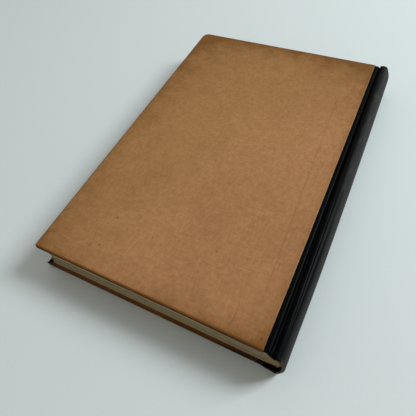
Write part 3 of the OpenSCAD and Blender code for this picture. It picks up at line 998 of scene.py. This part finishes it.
def leather_half(side, seed):
    """Half of the spine leather, up to the middle of the back. In the joint the turn-in stops
    short, because the pages fill the space. Returns points, faces, flat places and masks."""
    outer, inner, normal = leather_line()
    x = outer[:, 0]
    along = np.concatenate([[0], np.cumsum(np.linalg.norm(np.diff(outer, axis=0), axis=1))])
    # On the front the ends stand out further, and from further in over the board
    stand_out = 0.15 * side * (1 - smooth(along[-1] - 7, along[-1] - 1, along))
    rise_from, rise_to = (BOARD_X, RIDGE[0] - 0.8) if side > 0 else (BOARD_X - 6, RIDGE[0] - 2.5)
    end_y = SPINE_Y - COVER_Y + 0.15 + stand_out
    end_y = COVER_Y - 0.1 + end_y * smooth(rise_from, rise_to, x)
    in_joint = smooth(BEND[0] - 1.5, BEND[0] + 0.3, x) * smooth(RIDGE[0] + 2.2, RIDGE[0] + 0.6, x)
    flap = TURN_IN + 1 - (TURN_IN - 1.1) * in_joint
    face, depth_share = leather_sheet(outer, inner, end_y, flap, 0.0)
    flesh, _ = leather_sheet(outer, inner, end_y, flap, LEATHER_T)

    # Places on the sheet: a across it from its edge under the cloth, t along it from -1 to 1, and
    # where the bend over the board's edge, the bottom of the groove and the top of the ridge lie
    y = face[..., 1]
    t = y / SPINE_Y
    a = np.broadcast_to(along, y.shape)
    bend_at = along[BEND_POINT]
    groove_at = along[np.argmin(outer[:, 1] + (np.abs(x - GROOVE[0]) > 0.5) * 50)]
    ridge_at = along[np.argmin(np.abs(x - RIDGE[0]) + (outer[:, 1] < 9) * 50)]
    outside = smooth(0.75, 0.35, depth_share)
    on_back = smooth(ridge_at - 0.3, ridge_at + 3, a)
    in_sight = smooth(x[0] + 8.2, x[0] + 9.2, x) * outside
    middle = 1 - smooth(along[-1] - 4, along[-1], a)

    # The ridge's near flank leans towards the board, more at the head. The back bows outwards at
    # its middle. A crease runs along the ridge's top, and the skin is lumpy
    headward = (t + 1) / 2
    lean = smooth(groove_at + 0.2, ridge_at - 1.2, a) * smooth(ridge_at + 2.2, ridge_at - 0.6, a)
    bow = (0.45 * (1 - (t / 0.95) ** 2) - 0.4 * smooth(-0.45, -0.95, t)) * on_back
    move_x = bow - (0.6 + 1.1 * headward) * lean
    crease_at = ridge_at + 0.55 - 0.9 * headward + 0.15 * wobble(y, 0, 70, seed)
    crease = 0.2 * hump(a, crease_at, 0.24) * (0.75 + 0.35 * wobble(y, 0, 12, seed + 1))
    lumps = 0.06 * wobble(a * 2.5, y, 16, seed + 2) * in_sight
    fine = 0.03 * wobble(a * 3, y, 3.5, seed + 3) * in_sight
    rise = ((lumps + fine) * middle - crease) * outside

    # At the ends the groove is filled by the fold, which rolls over the pages and is ragged
    at_end = smooth(COVER_Y - 4, COVER_Y, np.abs(y))
    fill, width = (0.95 - 0.15 * np.sign(y), 1.1) if side > 0 else (1.55, 1.7)
    rise = rise + fill * hump(a, groove_at, width) * at_end * outside
    rolled = smooth(bend_at, bend_at + 1.5, a) * smooth(ridge_at + 5, ridge_at + 2, a) * (1 - outside)
    rise = rise - 0.5 * rolled * smooth(PAGE_Y + 0.1, COVER_Y - 0.4, np.abs(y))
    ragged = 0.35 * wobble(a, 3 * np.sign(y), 2.4, seed + 4) * at_end * in_sight * middle
    for skin in (face, flesh):
        skin[..., 0] += move_x + rise * normal[:, 0]
        skin[..., 1] += np.sign(y) * ragged
        skin[..., 2] += rise * normal[:, 1]

    # Worn grey on the back with a painted sheen towards its middle, and painted highlights in lines on the
    # bend and on both sides of the crease
    tailward = smooth(0.1, -0.95, t)
    past = a - crease_at
    worn = (0.7 + 0.12 * t) * smooth(0.2 + 1.3 * tailward, 1.9 + 5.5 * tailward, past)
    # Painted sheen that grows towards the middle of the back
    worn += 0.3 * smooth(crease_at + 2, along[-1], a)
    # Painted highlights in lines on the bend and on both sides of the crease
    for amount, from_line, line_width, patchy, scale, number, less in (
        (0.22, past - 0.5, 0.25, (0.8, 0.5), 7, 9, 0.7),
        (0.13, a - bend_at, 0.45, (0.7, 0.6), 9, 7, 0.4),
        (0.15, past + 1.0, 0.4, (0.7, 0.6), 11, 8, 0.7),
    ):
        line = hump(from_line, 0, line_width) * (patchy[0] + patchy[1] * wobble(y, 0, scale, seed + number))
        worn += amount * line * (1 - less * tailward)
    worn = np.clip(worn * outside, 0, 1)
    # Bare fibres at the very ends, fewer on the back cover's side
    bare = smooth(0.985, 0.998, np.abs(t)) * smooth(0.95, 0.5, depth_share)
    bare = bare * smooth(ridge_at, ridge_at + 2, a) * (0.35 if side > 0 else 1.0)
    quads = grid_quads(np.arange(a.size).reshape(a.shape))
    points, quads = shell(face.reshape(-1, 3), flesh.reshape(-1, 3), quads)
    flat = np.stack([a.ravel() + 10, y.ravel() + 120], -1)
    return points, quads, flat, {"worn": worn, "bare": bare}


class BOOK_OT_spine_leather(bpy.types.Operator):
    """Covers the back and both joints in leather, folded in at head and tail"""

    bl_idname = "book.spine_leather"
    bl_label = "Spine leather"

    def execute(self, context):
        for cover, side, seed in (("back", 1, 5), ("front", -1, 17)):
            points, quads, flat, masks = leather_half(side, seed)
            points = in_frame(points, side)
            half = put_mesh(f"spine_leather_{cover}", points, quads, leather_material(), flat, masks)
            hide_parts("spine_leather", f"{cover}_board_leather")
            bend_at_hinge(half, cover)
        return {"FINISHED"}


# Open cloth and endpapers


def open_cloth_flap():
    """Open cloth on the inner face of a board, carried down across the joint on to the pages'
    shoulder, between the leather and the endpaper. It is pressed thinner in the joint. Returns
    points, faces and the width of the flap when laid flat."""
    x = steps(FLAP_X, (BOARD_X - 1, 24), (MULL_END, 28))
    y = np.linspace(-MULL_Y, MULL_Y, 120)
    gx, gy = np.meshgrid(x, y, indexing="ij")
    in_joint = smooth(BOARD_X - 0.4, GROOVE[0] - 0.4, gx)
    on_board = BOARD_IN - MULL_T + 0.01
    low = on_board + (page_top(gx) + PAPER_T + 0.02 - on_board) * in_joint
    high = low + (MULL_T - 0.02) + (MULL_PRESSED - MULL_T + 0.02) * in_joint
    return *sheet_shell(gx, gy, low, high), np.hypot(np.diff(x), np.diff(low[:, 0])).sum()


class BOOK_OT_open_cloth(bpy.types.Operator):
    """Glues the open cloth to the inner face of each board and across each joint"""

    bl_idname = "book.open_cloth"
    bl_label = "Open cloth"

    def execute(self, context):
        points, quads, width = open_cloth_flap()
        for cover, side in (("back", 1), ("front", -1)):
            flap = put_mesh(f"{cover}_open_cloth", in_frame(points, side), quads, mull_material())
            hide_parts(f"{cover}_mull_flap")
            bend_at_hinge(flap, cover)
        return {"FINISHED"}


def endpaper(seed):
    """Paper on the inner face of a board, stepped over the turn-ins and the open cloth, and carried
    across the joint on to the pages' shoulder. Returns points, faces, flat places and masks."""
    turn_x, turn_y = FORE_X + TURN_IN, COVER_Y - TURN_IN
    x = steps(
        PAGE_X + 0.2, (turn_x - 1.5, 6), (turn_x + 1.5, 9), (FLAP_X - 1, 30), (FLAP_X + 1, 7),
        (BOARD_X - 1, 16), (PAPER_END, 26),
    )
    half = steps(0, (MULL_Y - 1, 34), (MULL_Y + 1, 7))
    half = np.concatenate([half, np.linspace(turn_y + 0.5, PAGE_Y - 0.2, 9)])
    half = np.unique(np.round(half, 4))
    y = np.concatenate([-half[:0:-1], half])
    gx, gy = np.meshgrid(x, y, indexing="ij")
    from_middle = np.abs(gy)
    over_turn = np.maximum(smooth(turn_x + 1, turn_x, gx), smooth(turn_y - 1, turn_y, from_middle))
    over_flap = smooth(FLAP_X - 0.6, FLAP_X, gx) * smooth(MULL_Y + 0.6, MULL_Y, from_middle)
    on_board = BOARD_IN - np.maximum(TURN_STEP * over_turn, MULL_T * over_flap)
    on_pages = page_top(gx) + PAPER_T + 0.01
    z = on_board + (on_pages - on_board) * smooth(BOARD_X - 0.4, GROOVE[0] - 0.4, gx)
    z += 0.02 * wobble(gx, gy, 30, seed) * smooth(BOARD_X - 1, BOARD_X - 5, gx) * (1 - over_turn)
    far = np.minimum(gx - PAGE_X, PAGE_Y - from_middle)
    flat = np.stack([gx.ravel(), gy.ravel()], -1) + 120
    return *sheet_shell(gx, gy, z - PAPER_T, z - 0.005), flat, {"edge": smooth(7, 0, far)}


class BOOK_OT_endpapers(bpy.types.Operator):
    """Glues an endpaper over each inner face and across each joint"""

    bl_idname = "book.endpapers"
    bl_label = "Endpapers"

    def execute(self, context):
        for cover, side, seed in (("back", 1, 31), ("front", -1, 37)):
            points, quads, flat, masks = endpaper(seed)
            points = in_frame(points, side)
            paper = put_mesh(f"{cover}_endpaper", points, quads, paper_material(), flat, masks)
            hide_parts(f"{cover}_pastedown")
            bend_at_hinge(paper, cover)
        return {"FINISHED"}


class BOOK_OT_boards_and_linings(bpy.types.Operator):
    """Gives the boards, the card, the open cloth and the paper lining their finishes"""

    bl_idname = "book.boards_and_linings"
    bl_label = "Boards and linings"

    def execute(self, context):
        colours = context.scene.book_colours
        board = card_material("grey_board", colours.board, 0.6)
        finishes = {
            "back_board": board,
            "front_board": board,
            "spine_inlay": card_material("inlay_card", colours.card, 0.65),
            "spine_lining": card_material("brown_lining", colours.lining, 0.7),
            "spine_mull": mull_material(),
        }
        for name, finish in finishes.items():
            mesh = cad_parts[name].data
            mesh.materials.clear()
            mesh.materials.append(finish)
        return {"FINISHED"}


# Camera, lights and floor


def soft_light(name, place, size, power, tint):
    """A lamp of a width and a height at a place, turned towards the book."""
    lamp = bpy.data.lights.new(name, "AREA")
    lamp.shape = "RECTANGLE"
    lamp.energy, lamp.color = power, tint
    lamp.size, lamp.size_y = size
    toward = -place / np.linalg.norm(place)
    across = np.cross(toward, (0, 0, 1))
    across /= np.linalg.norm(across)
    return stand(name, lamp, across, np.cross(across, toward), toward, place)


def stand(name, data, right, up, ahead, place):
    """Puts a lamp or a camera at a place, with its three directions."""
    holder = bpy.data.objects.new(name, data)
    bpy.context.scene.collection.objects.link(holder)
    turn = np.eye(4)
    turn[:3] = np.column_stack([right, up, -np.array(ahead), place])
    holder.matrix_world = Matrix(turn.tolist())
    return holder


class BOOK_OT_stage(bpy.types.Operator):
    """Sets up the floor, the soft lights and the camera"""

    bl_idname = "book.stage"
    bl_label = "Stage"

    def execute(self, context):
        scene = context.scene
        camera = bpy.data.cameras.new("camera")
        camera.sensor_width = 36
        camera.lens = 36.652
        camera.shift_x, camera.shift_y = 0.03385, -0.0687
        camera.clip_start = 0.01
        scene.camera = stand("camera", camera, *CAMERA_TURN, CAMERA_PLACE)

        bpy.ops.mesh.primitive_plane_add(size=6)
        floor = context.object
        floor.name = "table_top"
        floor.data.materials.append(floor_material())

        world = bpy.data.worlds.new("room")
        scene.world = world
        world.use_nodes = True
        back = world.node_tree.nodes["Background"]
        back.inputs["Color"].default_value = (1.0, 0.98, 0.9, 1)
        back.inputs["Strength"].default_value = 0.36
        sizes = scene.book_sizes
        # Direction and height of each lamp in degrees, and how far off and how large it is in metres
        for name, turn, height, far, size, power in (
            ("window_right", 36, 41, 1.4, (0.42, 0.62), sizes.window_power),
            ("window_left", 120, 60, 1.7, (1.2, 1.2), sizes.fill_power),
        ):
            turn, height = math.radians(turn), math.radians(height)
            level = math.cos(height)
            place = far * np.array([math.cos(turn) * level, math.sin(turn) * level, math.sin(height)])
            soft_light(name, place, size, power, (0.9, 0.97, 1.0))
        scene.view_settings.view_transform = "Standard"
        return {"FINISHED"}


# Values that a user would change


class BookSizes(bpy.types.PropertyGroup):
    """Sizes and amounts"""

    leaves: IntProperty(name="Leaves", description="Number of leaves in the block", default=128, min=16)
    cloth_thread: FloatProperty(
        name="Thread", description="Pitch of the threads of the book cloth", default=0.00045,
        precision=5, subtype="DISTANCE", unit="LENGTH",
    )
    window_power: FloatProperty(
        name="Window", description="Power of the large soft light", default=17.0,
        subtype="POWER", unit="POWER",
    )
    fill_power: FloatProperty(
        name="Fill", description="Power of the fill light", default=2.0, subtype="POWER", unit="POWER"
    )


def colour(name, description, *value):
    """A colour that a user can change, given as linear red, green and blue."""
    return FloatVectorProperty(
        name=name, description=description, subtype="COLOR", size=3, min=0, max=1, default=value
    )


class BookColours(bpy.types.PropertyGroup):
    """Colours, as linear values"""

    cloth_tail: colour("Cloth at the tail", "Cloth towards the tail of the spine", 0.472, 0.234, 0.107)
    cloth_head: colour("Cloth at the head", "Cloth towards the head of the fore edge", 0.436, 0.2235, 0.089)
    # Rubbed brown, also used as painted shade on the rims and overhangs
    cloth_rubbed_and_shade: colour("Rubbed cloth", "Dirt along the edges of the cloth", 0.18, 0.065, 0.011)
    # Black dirt, also used as painted shade along the rims and on the worn corner
    cloth_black_and_shade: colour("Blackened cloth", "Dirt on the lower round of each edge", 0.016, 0.007, 0.003)
    # Painted shade on the worn corner
    cloth_corner_shade: colour("Stained cloth", "Patch on the worn corner", 0.09, 0.03, 0.02)
    cloth_frayed: colour("Frayed cloth", "Threads at the cut edge", 0.5, 0.36, 0.2)
    leather: colour("Leather", "Unworn leather", 0.0009, 0.001, 0.0012)
    # Grey wear, also used for painted highlights and sheen
    leather_worn: colour("Worn leather", "Leather rubbed on the back", 0.04, 0.04, 0.038)
    leather_brown: colour("Browned leather", "Brown patches in the worn leather", 0.085, 0.072, 0.05)
    leather_bare: colour("Bare leather", "Fibres where the surface is gone", 0.26, 0.18, 0.1)
    pages: colour("Pages", "Edges of the leaves", 0.49, 0.405, 0.245)
    pages_upper: colour("Upper pages", "Edges of the leaves nearer the back cover", 0.9, 0.73, 0.47)
    pages_dark: colour("Darker pages", "Darker leaves", 0.33, 0.27, 0.16)
    # Also used as painted shade between the leaves and under the back cover's edge
    pages_tone_and_shade: colour("Gaps", "Between gatherings", 0.12, 0.09, 0.05)
    pages_nose: colour("Glued nose", "Ends of the leaves at the back", 0.42, 0.31, 0.16)
    endpaper: colour("Endpaper", "Papers inside the covers", 0.66, 0.6, 0.46)
    endpaper_toned: colour("Toned endpaper", "Browned parts of the endpapers", 0.52, 0.43, 0.28)
    board: colour("Board", "Boards", 0.36, 0.3, 0.21)
    card: colour("Card", "Spine card", 0.42, 0.35, 0.24)
    lining: colour("Lining", "Paper on the back", 0.5, 0.4, 0.25)
    mull: colour("Open cloth", "Cloth over the back", 0.72, 0.68, 0.56)
    floor: colour("Floor", "Table top", 0.66, 0.71, 0.715)


class BOOK_PT_panel(bpy.types.Panel):
    """Lists the book's values and the steps that build it"""

    bl_idname = "BOOK_PT_panel"
    bl_label = "Quarter-bound book"
    bl_space_type = "VIEW_3D"
    bl_region_type = "UI"
    bl_category = "Book"

    def draw(self, context):
        for values in (context.scene.book_sizes, context.scene.book_colours):
            box = self.layout.box()
            for name in values.__annotations__:
                box.prop(values, name)
        for step in STEPS:
            self.layout.operator(step.bl_idname)


STEPS = (
    BOOK_OT_stage,
    BOOK_OT_pages,
    BOOK_OT_cloth_sides,
    BOOK_OT_spine_leather,
    BOOK_OT_open_cloth,
    BOOK_OT_endpapers,
    BOOK_OT_boards_and_linings,
)
CLASSES = (BookSizes, BookColours, *STEPS, BOOK_PT_panel)


def register():
    for cls in CLASSES:
        bpy.utils.register_class(cls)
    bpy.types.Scene.book_sizes = PointerProperty(type=BookSizes)
    bpy.types.Scene.book_colours = PointerProperty(type=BookColours)


def unregister():
    del bpy.types.Scene.book_colours
    del bpy.types.Scene.book_sizes
    for cls in reversed(CLASSES):
        bpy.utils.unregister_class(cls)


def main():
    register()
    bpy.ops.book.stage()
    bpy.ops.book.pages()
    bpy.ops.book.cloth_sides()
    bpy.ops.book.spine_leather()
    bpy.ops.book.open_cloth()
    bpy.ops.book.endpapers()
    bpy.ops.book.boards_and_linings()


if __name__ == "__main__":
    main()
